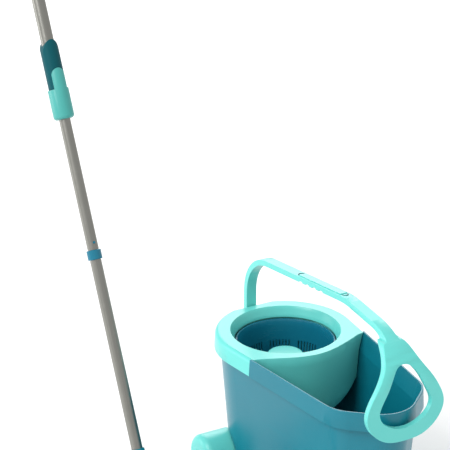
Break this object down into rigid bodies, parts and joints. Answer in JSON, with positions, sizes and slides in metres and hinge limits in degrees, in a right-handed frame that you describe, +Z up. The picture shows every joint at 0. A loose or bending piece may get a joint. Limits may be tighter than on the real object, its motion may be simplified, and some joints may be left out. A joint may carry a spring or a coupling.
{
  "type": "spin mop and bucket set",
  "caption": "Two-chamber mop bucket on wheels with a spinning wringer basket and swinging bail, and a pump-action mop with a round head standing beside it.",
  "frame": {"origin": "on the floor, in the middle of the set's footprint", "axes": "+Z up, +X from the basket end towards the bucket's nose, the mop stands on the -Y side"},
  "size_m": [0.8428, 0.599, 1.1798],
  "materials": {
    "petrol_plastic": "satin",
    "turquoise_plastic": "satin",
    "white_plastic": "matte",
    "dark_rubber": "matte",
    "steel": "drawn",
    "aluminium_tube": "brushed",
    "fringe_yarn": "soft",
    "pad_fabric": "soft"
  },
  "bodies": {
    "bucket": {"bucket_shell": "petrol_plastic", "rubber_feet": "dark_rubber", "splash_insert": "turquoise_plastic", "basket_spindle": "steel", "thrust_washer": "white_plastic", "spindle_clip": "steel", "wheel_axle": "steel", "axle_clips": "white_plastic", "push_nuts": "steel"},
    "basket": {"spin_basket": "petrol_plastic", "hub_bush": "white_plastic", "basket_hub": "turquoise_plastic"},
    "bail": {"bail_handle": "turquoise_plastic", "grip_inlay": "turquoise_plastic"},
    "near_wheel": {"wheel_near": "turquoise_plastic", "hub_cap_near": "turquoise_plastic"},
    "far_wheel": {"wheel_far": "turquoise_plastic", "hub_cap_far": "turquoise_plastic"},
    "mop_head": {"mop_fringe": "fringe_yarn", "mop_pad": "pad_fabric", "disc_plate": "white_plastic", "plate_pin": "steel"},
    "cardan": {"cardan_block": "petrol_plastic", "yoke_pin": "steel"},
    "lower_pole": {"head_socket": "petrol_plastic", "lower_tube": "aluminium_tube", "tube_collar": "petrol_plastic", "middle_tube": "aluminium_tube", "drive_nut": "white_plastic"},
    "button": {"snap_button": "petrol_plastic"},
    "guide": {"tube_guide": "white_plastic"},
    "upper_pole": {"upper_tube": "aluminium_tube", "lock_hood": "petrol_plastic", "rod_plug": "white_plastic", "spiral_rod": "steel", "top_grip": "petrol_plastic", "grip_end_cap": "turquoise_plastic"},
    "sleeve": {"lock_sleeve": "turquoise_plastic", "lock_collet": "white_plastic"}
  },
  "joints": [
    {"name": "bail_swing", "type": "hinge", "parent": "bucket", "child": "bail", "pos_m": [0.05647, 0.1535, 0.234], "axis": [1, 0, 0], "range_deg": [-90, 90]},
    {"name": "basket_spin", "type": "hinge", "parent": "bucket", "child": "basket", "pos_m": [0.05647, 0.1535, 0.173], "axis": [0, 0, 1], "continuous": true},
    {"name": "near_wheel_spin", "type": "hinge", "parent": "bucket", "child": "near_wheel", "pos_m": [0.01448, 0.0385, 0.038], "axis": [0, 1, 0], "continuous": true},
    {"name": "far_wheel_spin", "type": "hinge", "parent": "bucket", "child": "far_wheel", "pos_m": [0.01448, 0.2685, 0.038], "axis": [0, 1, 0], "continuous": true},
    {"name": "mop_lift", "type": "slide", "parent": "bucket", "child": "mop_head", "axis": [0, 0, 1], "range_m": [0, 0.5]},
    {"name": "head_tilt", "type": "hinge", "parent": "mop_head", "child": "cardan", "pos_m": [0.14297, -0.1515, 0.034], "axis": [0, 1, 0], "range_deg": [-34, 85]},
    {"name": "side_tilt", "type": "hinge", "parent": "cardan", "child": "lower_pole", "pos_m": [0.1373, -0.1515, 0.04569], "axis": [0.8996, 0, 0.4368], "range_deg": [-18, 40]},
    {"name": "button_press", "type": "slide", "parent": "lower_pole", "child": "button", "axis": [-0.8996, 0, -0.4368], "range_m": [0, 0.0018], "stiffness_N_per_m": 600, "springref_m": -0.002},
    {"name": "pole_spin", "type": "hinge", "parent": "lower_pole", "child": "guide", "pos_m": [-0.23355, -0.1515, 0.80942], "axis": [-0.4368, 0, 0.8996], "range_deg": [-575, 5]},
    {"name": "pump", "type": "slide", "parent": "guide", "child": "upper_pole", "axis": [0.4368, 0, -0.8996], "range_m": [0, 0.19]},
    {"name": "lock_twist", "type": "hinge", "parent": "upper_pole", "child": "sleeve", "pos_m": [-0.14794, -0.1515, 0.63311], "axis": [-0.4368, 0, 0.8996], "range_deg": [0, 20]}
  ],
  "couplings": [
    {"joint": "pole_spin", "follows": "pump", "rad_per_m": -52.36}
  ]
}
